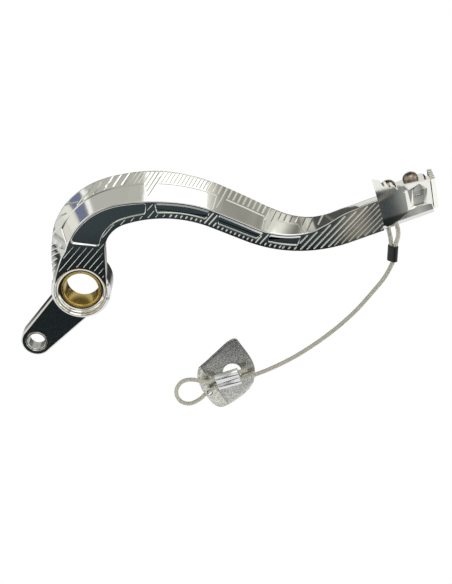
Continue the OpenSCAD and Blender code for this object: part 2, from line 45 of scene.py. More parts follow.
def makeMesh(name, verts, faces, sharp=32):
    mesh = bpy.data.meshes.new(name)
    mesh.from_pydata((np.asarray(verts, float) * 0.001).tolist(), [], faces)
    work = bmesh.new()
    work.from_mesh(mesh)
    bmesh.ops.recalc_face_normals(work, faces=work.faces)
    work.to_mesh(mesh)
    work.free()
    obj = bpy.data.objects.new(name, mesh)
    bpy.context.scene.collection.objects.link(obj)
    smooth(obj, sharp)
    return obj


def smooth(obj, sharp):
    obj.data.shade_smooth()
    obj.data.set_sharp_from_angle(angle=math.radians(sharp))


def loft(rings, closed=False):
    # rings of equal length joined by quads, with flat ends unless the row of rings closes on itself
    rings = np.asarray(rings, float)
    count, size = rings.shape[:2]
    last = count if closed else count - 1
    i = np.arange(last)[:, None] * size
    j = ((np.arange(last) + 1) % count)[:, None] * size
    k = np.arange(size)[None, :]
    k2 = (k + 1) % size
    faces = np.stack([i + k, i + k2, j + k2, j + k], -1).reshape(-1, 4).tolist()
    if not closed:
        faces += [list(range(size))[::-1], list(range((count - 1) * size, count * size))]
    return rings.reshape(-1, 3), faces


def angles(count):
    return np.arange(count) * 2 * math.pi / count


def lathe(profile, segments, centre=(0, 0), closed=False):
    # circles about an axis along Y: x = cx + r cos a, z = cz + r sin a
    a = angles(segments)
    rings = [np.stack([centre[0] + r * np.cos(a), np.full(segments, y), centre[1] + r * np.sin(a)], -1)
             for r, y in profile]
    return loft(rings, closed)


def prism(loops, depths):
    # the same number of points in each loop of (x, z), one loop at each depth y
    return loft([[(x, y, z) for x, z in loop] for loop, y in zip(loops, depths)])


def inset(loop, d):
    # moves each point square to its neighbours, inwards on a loop drawn either way round
    loop = np.asarray(loop, float)
    ahead, behind = np.roll(loop, -1, 0), np.roll(loop, 1, 0)
    area = np.sum(loop[:, 0] * ahead[:, 1] - ahead[:, 0] * loop[:, 1])
    one, two = ahead - loop, loop - behind
    one /= np.linalg.norm(one, axis=1)[:, None]
    two /= np.linalg.norm(two, axis=1)[:, None]
    turn = one + two
    turn /= np.linalg.norm(turn, axis=1)[:, None]
    side = np.stack([-turn[:, 1], turn[:, 0]], -1) * np.sign(area)
    stretch = np.clip(np.sum(turn * one, axis=1), 0.5, 1)
    return loop + side * (d / stretch)[:, None]


def bend(a, p, b, u):
    # curve from a to b that leans toward the corner p: (1-u)^2 a + 2u(1-u) p + u^2 b
    return (1 - u) ** 2 * a + 2 * u * (1 - u) * p + u**2 * b


def rounded(corners, r, steps):
    # each corner of a loop becomes a curve between its two sides
    pts = np.asarray(corners, float)
    out = []
    for i, p in enumerate(pts):
        a, b = pts[i - 1] - p, pts[(i + 1) % len(pts)] - p
        la, lb = np.linalg.norm(a), np.linalg.norm(b)
        d = min(r, 0.45 * la, 0.45 * lb)
        out += [bend(p + a / la * d, p, p + b / lb * d, u) for u in np.linspace(0, 1, steps)]
    return np.array(out)


def leaning(points, at, angle):
    # points (along, depth, up) turned about the depth by an angle in radians and moved to a place
    p, c, w = np.asarray(points, float), math.cos(angle), math.sin(angle)
    return np.stack([at[0] + p[..., 0] * c - p[..., 2] * w, at[1] + p[..., 1],
                     at[2] + p[..., 0] * w + p[..., 2] * c], -1)


def leaningMesh(name, rings, at, angle):
    verts, faces = loft(rings)
    return makeMesh(name, leaning(verts, at, angle), faces)


def bake(obj):
    depsgraph = bpy.context.evaluated_depsgraph_get()
    fresh = bpy.data.meshes.new_from_object(obj.evaluated_get(depsgraph))
    obj.modifiers.clear()
    obj.data = fresh


def combine(obj, tool, kind="DIFFERENCE"):
    step = obj.modifiers.new("combine", "BOOLEAN")
    step.operation = kind
    step.solver = "MANIFOLD"
    step.object = tool
    before = len(obj.data.polygons)
    bake(obj)
    print("  ", kind, tool.name, before, "->", len(obj.data.polygons))
    bpy.data.objects.remove(tool)
    return obj


def softEdges(obj, width, angle):
    edge = obj.modifiers.new("edges", "BEVEL")
    edge.width = width * 0.001
    edge.segments = 2
    edge.limit_method = "ANGLE"
    edge.angle_limit = math.radians(angle)
    edge.use_clamp_overlap = True
    bake(obj)


print("stage: arm shape")
arm = {
    "start": 18.4, "nearY": -12.5, "thick": 17.5, "toeThick": 8.5, "toeHigh": 23.0,
    "step": 0.8, "samples": 5600,
    # runs of the lower edge: length, and the turn along it in degrees
    "runs": [(31.4, 0), (math.radians(71) * 21, -71), (math.radians(42) * 82, -42), (25.6, 0),
             (math.radians(44.5) * 96, 44.5), (60.0, 0)],
    # run, share of it, face height, bevel height, share of the thickness lost
    "sections": [(0, 0, 36, 3.2, 0), (0, .3, 35.8, 4.2, 0), (0, .8, 31, 9, 0), (1, .2, 24.4, 13.6, 0),
                 (1, .6, 19.1, 15, 0), (1, 1, 15.7, 15.3, 0), (2, .4, 12.8, 16.3, 0),
                 (2, .8, 12.4, 14.2, 0), (3, .75, 12, 13, 0), (4, .19, 11.3, 12.1, .05),
                 (4, .45, 12.2, 8.8, .22), (4, .65, 14.4, 6, .44), (4, .81, 17.8, 3.6, .67),
                 (4, 1, 21.2, 1.8, .89), (5, .18, 22.2, .8, 1), (5, .3, 23, 0, 1), (5, 1, 23, 0, 1)],
    # rounds of the lower near edge, the ridge, the outer edge and the two lower edges of the back
    "rounds": (0.5, 0.7, 1.8, 1.6, 1.4),
    "loopHole": {"at": (-27, 8), "radius": 2.6, "sink": 0.8},
    "underBevel": {"from": -36, "to": 2, "deep": 2.6, "high": 4.9},
}
hub = {"radius": 21.0, "bevel": 2.3, "backBevel": 1.2, "width": 25.0, "seat": 17.85, "seatDeep": 4.2,
       "fillet": 3.3, "bushRadius": 14.3, "boreRadius": 12.0, "bushLong": 18.0, "fit": 0.01}
lug = {"reach": 54.0, "angle": 230.5, "radius": 11.3, "front": -8.0, "thick": 10.5, "outer": 12.6,
       "inner": 18.6, "bevel": 1.1, "backBevel": 0.6, "eye": 7.5, "bore": 6.0}
pockets = {
    # near pockets by distance along the lower edge: from and to at the foot, to and from at the rim
    "near": [(34.4, 73.2, 74.6, 34.2), (80.2, 112.4, 113.8, 79.4), (121.0, 150.2, 153.8, 119.0),
             (158.4, 180.4, 182.6, 158.6)],
    "foot": 4.2, "rim": 1.2, "deep": 1.3, "slope": 0.45, "corner": 3.0, "side": 0.4, "lower": 0.2,
    "upper": [0.5, 1.5, 1.5, 1.3],
    # bevel pockets: from and to at the ridge side, from and to at the outer side
    "bevel": [(33.5, 74.9, 36.5, 74.0), (76.8, 114.3, 82.0, 114.5), (119.6, 151.6, 120.8, 151.6),
              (158.4, 186.0, 161.0, 180.0)],
    "low": 0.045, "high": 0.57, "bevelDeep": 0.8,
}
grooves = {
    "angle": 50.0, "above": 0.2, "nearShort": 1.6, "bevelShort": 2.0,
    # zones by offset square to the grooves: from, to, pitch, width, depth
    "near": [(36, -12, 3.7, 0.36, 0.12), (-12, -86, 3.0, 1.0, 0.24), (-86, -112, 3.35, 1.0, 0.3),
             (-112, -170, 2.75, 0.6, 0.16)],
    "bevel": [(90, 24, 3.6, 1.5, 0.25), (24, -22, 2.25, 1.0, 0.32), (-22, -170, 3.6, 1.3, 0.38)],
    # edges of the grooved field of the near face, as distances along the arm and gaps to its outline
    "nearField": {"ends": (6, 262), "toe": 183.6, "hub": (32, 12), "low": 0.95, "toeTop": 1.3, "hubTop": 1.4,
                  "foot": 0.3, "rim": 0.35, "side": 0.6, "corner": 0.7, "round": 18.9,
                  "roundTurn": (146, 20)},
    # the same on the bevel, with shares of its height
    "bevelField": {"ends": (10, 205), "outer": 0.985, "ridge": 0.12, "gap": 0.015, "side": 0.4,
                   "corner": 1.0},
    # strokes at the knee: their starts, and how far along and up the bevel they go
    "knee": {"at": (5.0, 9.6, 14.2, 18.8, 23.4, 28.0, 32.6, 37.2, 41.8), "to": 42, "long": 10,
             "shorterFrom": 33, "least": 0.42, "foot": 0.98, "rise": 0.74, "width": 1.2, "depth": 0.34},
}

# table of the lower edge: distance along it, direction and place
runLong = np.array([r[0] for r in arm["runs"]])
runTurn = np.array([r[1] for r in arm["runs"]], float)
runStart = np.concatenate([[0], np.cumsum(runLong)])
armLong = runStart[-1]
tableS = np.linspace(0, armLong, arm["samples"])
turned = sum(runTurn[i] * np.clip((tableS - runStart[i]) / runLong[i], 0, 1) for i in range(len(runLong)))
turnAt = np.radians(90 + turned)
stepS = tableS[1] - tableS[0]
midTurn = 0.5 * (turnAt[1:] + turnAt[:-1])
tableX = arm["start"] + np.concatenate([[0], np.cumsum(np.cos(midTurn) * stepS)])
tableZ = np.concatenate([[0], np.cumsum(np.sin(midTurn) * stepS)])


def across(s, n):
    # (x, z) at distance s along the lower edge and n square to it
    s = np.asarray(s, float)
    h = np.interp(s, tableS, turnAt)
    x, z = np.interp(s, tableS, tableX), np.interp(s, tableS, tableZ)
    return np.stack([x - n * np.sin(h), z + n * np.cos(h)], -1)


knots = np.array([runStart[q[0]] + q[1] * runLong[q[0]] for q in arm["sections"]])
thinner = arm["toeThick"] - arm["thick"]
values = np.array([[q[2], q[3], arm["thick"] + thinner * q[4]] for q in arm["sections"]])
slopes = np.zeros_like(values)
slopes[1:-1] = (values[2:] - values[:-2]) / (knots[2:] - knots[:-2])[:, None]
slopes[-3:] = 0  # the toe end keeps its section


def section(s):
    # cubic Hermite between the knots: face height, bevel height, thickness
    s = np.asarray(s, float)
    i = np.clip(np.searchsorted(knots, s, side="right") - 1, 0, len(knots) - 2)
    d = knots[i + 1] - knots[i]
    u = np.clip((s - knots[i]) / d, 0, 1)[..., None]
    d = d[..., None]
    return ((2 * u**3 - 3 * u**2 + 1) * values[i] + (u**3 - 2 * u**2 + u) * d * slopes[i]
            + (3 * u**2 - 2 * u**3) * values[i + 1] + (u**3 - u**2) * d * slopes[i + 1])


def snAt(points):
    # distance along the lower edge and height above it, for points (x, z) on the arm
    points = np.asarray(points, float)
    s, turn = tableS[::8], turnAt[::8]
    dx, dz = points[:, None, 0] - tableX[None, ::8], points[:, None, 1] - tableZ[None, ::8]
    c, w = np.cos(turn), np.sin(turn)
    ahead = dx * c + dz * w
    n = -dx * w + dz * c
    beside = (n > -2) & (n < 45)
    k = np.argmin(np.where(beside, np.abs(ahead), 1e9), 1)
    row = np.arange(len(points))
    return s[k] + ahead[row, k], n[row, k]


def bevelPoint(s, v, lift=0.0):
    # v runs from the ridge to the outer edge; lift is square to the bevel
    q = section(s)
    slope = np.hypot(q[..., 1], q[..., 2])
    xz = across(s, q[..., 0] + q[..., 1] * v + lift * q[..., 2] / slope)
    y = arm["nearY"] + q[..., 2] * v - lift * q[..., 1] / slope
    return np.stack([xz[..., 0], y, xz[..., 1]], -1)


def blade():
    # five corners at each distance along the arm, each drawn as a curve
    s = np.concatenate([np.arange(0, armLong, arm["step"]), [armLong]])
    h, w, t = section(s).T
    zero = np.zeros_like(s)
    low = 0.35 * t
    corners = [(zero, zero), (h, zero), (h + w, t), (low, t), (zero, t - low)]
    rings = []
    for i, (p, r) in enumerate(zip(corners, arm["rounds"])):
        p, a, b = (np.stack(q, -1) for q in (p, corners[i - 1], corners[(i + 1) % 5]))
        da, db = a - p, b - p
        da *= r / np.linalg.norm(da, axis=1)[:, None]
        db *= r / np.linalg.norm(db, axis=1)[:, None]
        rings += [bend(p + da, p, p + db, u) for u in np.linspace(0, 1, 8)]
    grid = np.stack(rings, 1)
    xz = across(s[:, None], grid[..., 0])
    return makeMesh("arm", *loft(np.stack([xz[..., 0], arm["nearY"] + grid[..., 1], xz[..., 1]], -1)))


def clipLine(loop, c, angle):
    # parts of the line with offset c that lie inside a loop, as pairs of distances along the line
    d = np.array([math.cos(angle), math.sin(angle)])
    p = np.array([-d[1], d[0]])
    off = loop @ p - c
    nxt = np.roll(off, -1)
    hit = (off < 0) != (nxt < 0)
    f = off[hit] / (off[hit] - nxt[hit])
    where = loop[hit] + f[:, None] * (np.roll(loop, -1, 0)[hit] - loop[hit])
    along = np.sort(where @ d)
    return [(a, b) for a, b in zip(along[::2], along[1::2])], d, p


def offsets(zones):
    for start, end, pitch, width, depth in zones:
        for c in np.arange(start, end, -pitch):
            yield c, width, depth


def furrow(centre, side, out, width, depth, ends):
    # a V cut along a line of points: two edges above the surface, one keel below it that rises at both ends
    arc = np.concatenate([[0], np.cumsum(np.linalg.norm(np.diff(centre, axis=0), axis=1))])
    fade = np.clip(np.minimum(arc, arc[-1] - arc) / ends, 0, 1)[:, None]
    above = grooves["above"]
    wide = width / 2 * (1 + above / depth)
    spread = 0.25 + 0.75 * fade
    left = centre - side * wide * spread + out * above
    right = centre + side * wide * spread + out * above
    keel = centre + out * (above * 0.6 - (above * 0.6 + depth) * fade)
    return loft(np.stack([left, right, keel], 1))


def gather(parts, name):
    verts, faces, base = [], [], 0
    for v, f in parts:
        verts.append(v)
        faces += [[k + base for k in face] for face in f]
        base += len(v)
    return makeMesh(name, np.concatenate(verts), faces)


def nearFaceLoop():
    # along the lower edge to the toe, back under the ridge and round each pocket, then round the hub
    field = grooves["nearField"]
    foot, rim = pockets["foot"] - field["foot"], pockets["rim"] - field["rim"]
    side, corner = field["side"], field["corner"]

    def under(s, gap):
        return across(s, section(s)[..., 0] - gap)
    loop = [across(np.arange(*field["ends"], 2.0), field["low"]),
            under(np.arange(field["ends"][1], field["toe"], -2.0), field["toeTop"])]
    for a, b, c, d in reversed(pockets["near"]):
        loop += [under(np.array([c + corner]), rim), across(np.linspace(b + side, a - side, 12), foot),
                 under(np.array([d - corner]), rim)]
    loop.append(under(np.arange(*field["hub"], -2.0), field["hubTop"]))
    a = np.radians(np.arange(*field["roundTurn"], -6))
    loop.append(field["round"] * np.stack([np.cos(a), np.sin(a)], -1))
    return np.concatenate(loop)


def nearFurrows():
    # every second line goes to a tool of its own, so that no tool cuts into itself
    loop = nearFaceLoop()
    parts = [], []
    for row, (c, width, depth) in enumerate(offsets(grooves["near"])):
        pieces, d, p = clipLine(loop, c, math.radians(grooves["angle"]))
        for a, b in pieces:
            if b - a < grooves["nearShort"]:
                continue
            t = np.array([a, a + 0.9, b - 0.9, b]) if b - a > 2.2 else np.array([a, (a + b) / 2, b])
            xz = t[:, None] * d + c * p
            centre = np.stack([xz[:, 0], np.full(len(t), arm["nearY"]), xz[:, 1]], -1)
            side = np.tile([p[0], 0, p[1]], (len(t), 1))
            out = np.tile([0.0, -1.0, 0.0], (len(t), 1))
            parts[row % 2].append(furrow(centre, side, out, width, depth, min(0.6, (b - a) / 2.2)))
    return parts


def bevelLoop():
    # along the outer edge to the toe, then back beside the ridge and over each pocket
    field = grooves["bevelField"]
    side, corner = field["side"], field["corner"]

    def edge(s, v):
        s = np.asarray(s, float)
        q = section(s)
        return across(s, q[..., 0] + q[..., 1] * v)
    loop = [edge(np.arange(*field["ends"], 2.0), field["outer"]), edge([206, 206], np.array([0.9, 0.2]))]
    for a, b, a2, b2 in reversed(pockets["bevel"]):
        loop.append(edge([b + corner], field["ridge"]))
        loop.append(edge(np.linspace(b2 + side, a2 - side, 16), pockets["high"] + field["gap"]))
        if a > grooves["knee"]["to"]:
            loop.append(edge([a - corner], field["ridge"]))
    loop.append(edge([33, 22, 12], np.array([0.1, 0.1, 0.15])))
    return np.concatenate(loop)


def bevelFurrow(s, v, width, depth, ends):
    centre = bevelPoint(s, v)
    out = bevelPoint(s, v, 1.0) - centre
    ahead = np.gradient(centre, axis=0)
    ahead /= np.linalg.norm(ahead, axis=1)[:, None]
    return furrow(centre, np.cross(ahead, out), out, width, depth, ends)


def bevelFurrows():
    loop, knee = bevelLoop(), grooves["knee"]
    parts = [], []
    for row, (c, width, depth) in enumerate(offsets(grooves["bevel"])):
        pieces, d, p = clipLine(loop, c, math.radians(grooves["angle"]))
        for a, b in pieces:
            if b - a < grooves["bevelShort"]:
                continue
            if snAt(np.array([a, b])[:, None] * d + c * p)[0].min() < knee["to"]:
                continue
            t = np.concatenate([[a], np.linspace(a + 0.4, b - 0.4, max(3, int((b - a) / 1.2))), [b]])
            s, n = snAt(t[:, None] * d + c * p)
            q = section(s)
            parts[row % 2].append(bevelFurrow(s, (n - q[:, 0]) / q[:, 1], width, depth, 0.4))
    # slanting strokes from the outer edge up toward the ridge, shorter toward the end of the knee
    u = np.linspace(0, 1, 14)
    for row, s0 in enumerate(knee["at"]):
        reach = max(knee["least"], min(1, (knee["shorterFrom"] - s0) / knee["long"]))
        s, v = s0 + knee["long"] * u * reach, knee["foot"] - knee["rise"] * u * reach
        parts[row % 2].append(bevelFurrow(s, v, knee["width"], knee["depth"], 0.3))
    return parts


def pocketLoop(p, side, lower, upper):
    # outline of a near pocket, drawn in at its ends, its foot and its rim, with soft corners
    a, b, c, d = p
    count = 26
    s = np.concatenate([np.linspace(a + side, b - side, count), np.linspace(c - side, d + side, count)])
    low = np.full(count, pockets["foot"] + lower)
    high = section(s[count:])[..., 0] - pockets["rim"] - upper
    loop = across(s, np.concatenate([low, high]))
    soft = []
    for i, corner in enumerate(loop):
        if i in (0, count - 1, count, 2 * count - 1):
            sides = loop[i - 1] - corner, loop[(i + 1) % (2 * count)] - corner
            one, two = (corner + q / np.linalg.norm(q) * min(pockets["corner"], np.linalg.norm(q) * 0.9)
                        for q in sides)
            soft += [bend(one, corner, two, u) for u in np.linspace(0, 1, 6)]
        else:
            soft.append(corner)
    return soft


def nearPocket(p, upper, name):
    # the rim slopes away first and then falls steeply to the floor
    y, side, lower, slope = arm["nearY"], pockets["side"], pockets["lower"], pockets["slope"]
    shares = (-1, -1), (0, 0), (0.5, 1), (1, 1.15)
    loops = [pocketLoop(p, side * k, lower * k, upper * m) for k, m in shares]
    return makeMesh(name, *prism(loops, [y - slope, y, y + slope, y + pockets["deep"]]))


def bevelPocket(p, name):
    # sheets under and over the bevel, joined to a block
    a, b, a2, b2 = p
    u = np.linspace(0, 1, 40)[:, None]
    v = np.linspace(pockets["low"], pockets["high"], 5)[None, :]
    f = (v - pockets["low"]) / (pockets["high"] - pockets["low"])
    s = (a + (a2 - a) * f) * (1 - u) + (b + (b2 - b) * f) * u
    base = bevelPoint(s, v + 0 * u, -pockets["bevelDeep"])
    lid = bevelPoint(s, v + 0 * u, 1.0)
    return makeMesh(name, *loft(np.concatenate([base, lid[:, ::-1]], 1)))


def hubBody():
    r, y, w, b, back = hub["radius"], arm["nearY"], hub["width"], hub["bevel"], hub["backBevel"]
    profile = [(r - b, y + 0.01), (r - 0.35, y + b - 0.3), (r, y + b + 0.35), (r, y + w - back),
               (r - back, y + w)]
    return makeMesh("hubBody", *lathe(profile, 144))


def lugBody():
    a = math.radians(lug["angle"])
    eye = lug["reach"] * np.array([math.cos(a), math.sin(a)])
    side = np.array([-math.sin(a), math.cos(a)])
    turn = a - math.pi / 2 + np.linspace(0, math.pi, 40)
    arc = eye + lug["radius"] * np.stack([np.cos(turn), np.sin(turn)], -1)
    loop = np.concatenate([arc, [lug["inner"] * side, -lug["outer"] * side]])
    y, t, b, back = lug["front"], lug["thick"], lug["bevel"], lug["backBevel"]
    loops = [inset(loop, b), loop, loop, inset(loop, back)]
    return makeMesh("lugBody", *prism(loops, [y, y + b, y + t - back, y + t])), eye


armObj = blade()
lugObj, eyeAt = lugBody()
combine(armObj, hubBody(), "UNION")
combine(armObj, lugObj, "UNION")
for i, (p, upper) in enumerate(zip(pockets["near"], pockets["upper"])):
    combine(armObj, nearPocket(p, upper, "pocket%d" % i))
for i, p in enumerate(pockets["bevel"]):
    combine(armObj, bevelPocket(p, "bevelPocket%d" % i))
for parts in (*nearFurrows(), *bevelFurrows()):
    combine(armObj, gather(parts, "furrows"))

nearY, seat, fillet = arm["nearY"], hub["seat"], hub["fillet"]
bushY, bushEnd = nearY + hub["seatDeep"], nearY + hub["seatDeep"] + hub["bushLong"]
bushHole = hub["bushRadius"] + hub["fit"]
seatCut = [(seat + 1.1, nearY - 0.6), (seat + 0.02, nearY + 0.5), (seat, nearY + 0.9)]
seatCut += [(seat - fillet * (1 - math.cos(a)), nearY + 0.9 + fillet * math.sin(a))
            for a in np.linspace(0, math.pi / 2, 12)[1:]]
seatCut += [(bushHole, bushY), (bushHole, bushEnd), (seat, bushEnd), (seat, nearY + hub["width"] + 1)]
combine(armObj, makeMesh("seatCut", *lathe(seatCut, 128)))
eye, eyeY, eyeEnd = lug["eye"], lug["front"], lug["front"] + lug["thick"]
eyeCut = [(eye + 0.8, eyeY - 0.5), (eye + 0.02, eyeY + 0.3), (eye + hub["fit"], eyeEnd - 0.3),
          (eye + 0.7, eyeEnd + 0.5)]
combine(armObj, makeMesh("eyeCut", *lathe(eyeCut, 72, eyeAt)))

# shapes at the toe are drawn as (along, depth, up) from the end of the arm's lower edge
toeAt, toeTurn = (tableX[-1], 0, tableZ[-1]), turnAt[-1]
tip = {
    "near": -23.3, "deep": 19.3, "plate": 4.5, "wall": 3.2, "front": 2.9, "lean": 10.8, "top": 28.59,
    "gap": 0.4, "from": -32.0, "to": 2.2, "round": 4.0,
    # outline of the near wall, along the toe and up
    "outline": [(-32.2, 41.97), (-28.4, 39.6), (-18, 33.2), (-15.2, 31), (5.0, 28.2), (1.9, 10.8),
                (0.9, 10.8), (-2, 12.4), (-6, 12.8), (-11, 13.4), (-16, 12.2), (-20, 10.2), (-25, 8.4),
                (-29.5, 6.8), (-32.8, 6.4), (-34.8, 9), (-34.2, 11.5), (-33.6, 20), (-32.8, 30)],
    # window and its sloped frame: depth behind the near face and outline there
    "window": [(-0.4, [(-16.9, 13.0), (-14.9, 27.5), (-4.0, 29.3), (1.5, 24.2), (-2.0, 12.7)]),
               (0.02, [(-16.2, 13.2), (-14.2, 27.2), (-3.9, 29.0), (1.2, 24.0), (-2.2, 12.9)]),
               (0.9, [(-13.6, 13.7), (-10.9, 26.0), (-3.7, 28.5), (0.2, 23.4), (-3.2, 13.3)]),
               (2.6, [(-11.3, 14.1), (-8.3, 25.3), (-3.6, 28.0), (-2.1, 23.0), (-5, 13.9)]),
               (4.2, [(-11.3, 14.1), (-8.3, 25.3), (-3.6, 28.0), (-2.1, 23.0), (-5, 13.9)])],
    "notches": [(-26.944, 38.704), (-23.2, 36.4), (-19.456, 34.096)],
    "notch": [(-1.7, 2.5), (1.0, 2.5), (1.5, -4.4), (0.7, -4.4)],
    "slots": 5, "slotWide": 1.8, "slotDeep": 2.2,
}
# at gives the places of the front and the rear screw along the toe
screws = {"radius": 3.0, "head": 5.25, "high": 4.4, "long": 16.0, "at": (-8.0, -23.8), "socket": 4.0}


def toeMesh(name, rings):
    return leaningMesh(name, rings, toeAt, toeTurn)


def toePrism(name, loop, y0, y1):
    return toeMesh(name, [[(u, y, v) for u, v in loop] for y in (y0, y1)])


def toePost(name, u, y, v0, v1, r):
    loop = [(u + r * math.cos(k), y + r * math.sin(k)) for k in angles(40)]
    return toeMesh(name, [[(*p, v) for p in loop] for v in (v0, v1)])


screwY = nearY + arm["toeThick"] / 2
backY = nearY + arm["toeThick"]
plateTop = arm["toeHigh"] + tip["plate"]
shank, end = screws["radius"], plateTop - screws["long"]
for at in screws["at"]:
    combine(armObj, toePost("tapped", at, screwY, end - 1, plateTop, shank + 0.01))
# hole for the cable loop, countersunk on both sides
(u, v), r0 = arm["loopHole"]["at"], arm["loopHole"]["radius"]
r1 = r0 + arm["loopHole"]["sink"]
rings = [[(u + r * math.cos(k), y, v + r * math.sin(k)) for k in angles(40)]
         for r, y in ((r1, nearY - 0.6), (r0, nearY + 0.3), (r0, backY - 0.3), (r1, backY + 0.6))]
combine(armObj, toeMesh("loopHole", rings))
# broad bevel on the lower edge under the tip
cut = arm["underBevel"]
rings = [[(u, nearY - 1, -1), (u, nearY + cut["deep"], -1), (u, nearY - 1, cut["high"])]
         for u in (cut["from"], cut["to"])]
combine(armObj, toeMesh("underBevel", rings))
smooth(armObj, 14)
print("stage: arm done", len(armObj.data.polygons))

print("stage: bush and sleeve")
outer, bore = hub["bushRadius"] - hub["fit"], hub["boreRadius"]
bushProfile = [(bore + 0.25, bushY + 0.55), (bore + 0.6, bushY + 0.2), (bore + 1.1, bushY + 0.01),
               (bore + 1.5, bushY + 0.06), (bore + 1.9, bushY + 0.3), (outer, bushY + 0.8),
               (outer, bushEnd - 0.4), (outer - 0.4, bushEnd), (bore + 0.8, bushEnd), (bore, bushEnd - 0.8),
               (bore, bushY + 1.1)]
bush = makeMesh("bush", *lathe(bushProfile, 128, closed=True))
outer, bore = eye - hub["fit"], lug["bore"]
sleeveProfile = [(bore + 0.7, eyeY), (eye - 0.35, eyeY), (outer, eyeY + 0.35), (outer, eyeEnd - 0.35),
                 (eye - 0.35, eyeEnd), (bore + 0.6, eyeEnd), (bore, eyeEnd - 0.6), (bore, eyeY + 0.7)]
sleeve = makeMesh("sleeve", *lathe(sleeveProfile, 72, eyeAt, closed=True))

print("stage: toe tip")
near, wall = tip["near"], tip["wall"]


def leanUp(v):
    # the near face leans back toward its top and toward its lower edge
    top, low = (np.clip(v - 26, 0, 16) / 16) ** 1.2 * 2.8, ((15 - v) / 9) ** 2 * 0.8
    return np.where(v > 26, top, np.where(v < 15, low, 0))


def leanAlong(u):
    # and a little toward both its ends
    return 0.8 * (max(0, u + 14) / 13) ** 2 + 0.05 * (max(0, -20 - u) / 14) ** 2


tipObj = toePrism("tip", tip["outline"], near, near + wall)
v = np.linspace(4, 44, 41)
back = list(zip(v[::-1], leanUp(v)[::-1]))
shave = [[(u, near - 2, q) for q in v] + [(u, near + d + leanAlong(u), q) for q, d in back]
         for u in np.linspace(-38, 8, 24)]
combine(tipObj, toeMesh("shave", shave))
for u, v in tip["notches"]:
    combine(tipObj, toePrism("notch", [(u + a, v + b) for a, b in tip["notch"]], near - 1, near + wall + 1))
combine(tipObj, toeMesh("window", [[(u, near + y, v) for u, v in loop] for y, loop in tip["window"]]))

# the front wall leans forward by slant for each millimetre up
slant, top, low, r = math.tan(math.radians(tip["lean"])), tip["top"], arm["toeHigh"] + 0.01, tip["round"]
foot = tip["gap"] + 0.18 - 9 * slant
join = foot + low * slant + 1.4
plate = [(tip["from"], low), (join, low), (join, low + 0.9), (tip["to"], low + 0.9)]
plate += [(tip["to"] - r + r * math.cos(k), plateTop - r + r * math.sin(k))
          for k in np.radians(np.linspace(10, 90, 9))]
plate.append((tip["from"], plateTop))
combine(tipObj, toePrism("plate", plate, near + wall - 0.5, backY), "UNION")
frontLoop = [(foot + 8 * slant, 8), (foot + 8 * slant + tip["front"], 7.45),
             (foot + top * slant + tip["front"], top - 0.55), (foot + top * slant, top)]
front = toePrism("front", frontLoop, near, near + tip["deep"])
# its near end turns toward the light
corner = [(-0.3, -1, 0), (4.2, -1, -0.7), (4.2, 2.2, -0.7), (-0.3, -0.1, 0)]
rings = [[(foot + v * slant + a, near + b, v + c) for a, b, c in corner] for v in (6, 31)]
combine(front, toeMesh("corner", rings))
combine(tipObj, front, "UNION")
wide, deep = tip["slotWide"], top - tip["slotDeep"]
pitch = (tip["deep"] - wide) / tip["slots"]
start = foot + deep * slant
for k in range(tip["slots"]):
    y = near + tip["deep"] - (k + 1) * pitch
    slot = [(y, deep), (y + wide, deep), (y + wide + 0.3, top + 1), (y - 0.3, top + 1)]
    combine(tipObj, toeMesh("slot", [[(u, a, v) for a, v in slot] for u in (start, start + 9)]))
for at in screws["at"]:
    combine(tipObj, toePost("clear", at, screwY, arm["toeHigh"] - 1, plateTop + 1, shank + 0.3))
smooth(tipObj, 24)

print("stage: screws")


def screw(name, at):
    # turned profile with a dome that is part of an ellipse, and a six-sided socket
    r, high, end = screws["head"], screws["high"], -screws["long"]
    dome = [(r * math.cos(k), 0.6 + (high - 0.6) * math.sin(k) / math.sin(1.0))
            for k in np.linspace(0, 1.0, 9)]
    profile = [(shank - 0.8, end), (shank, end + 0.8), (shank, 0.02), (r - 0.15, 0.02), (r, 0.18), *dome,
               (2.5, high + 0.06)]
    obj = toeMesh(name, [[(at + q * math.cos(k), screwY + q * math.sin(k), plateTop + v) for k in angles(64)]
                         for q, v in profile])
    q = screws["socket"] / 2 / math.cos(math.pi / 6)
    rings = [[(at + m * q * math.cos(k), screwY + m * q * math.sin(k), plateTop + v) for k in angles(6) + 0.3]
             for m, v in ((1.25, high + 0.5), (1.0, high - 0.3), (1.0, high - 2.2))]
    return combine(obj, toeMesh("socket", rings))


rearScrew = screw("screwRear", screws["at"][1])
frontScrew = screw("screwFront", screws["at"][0])

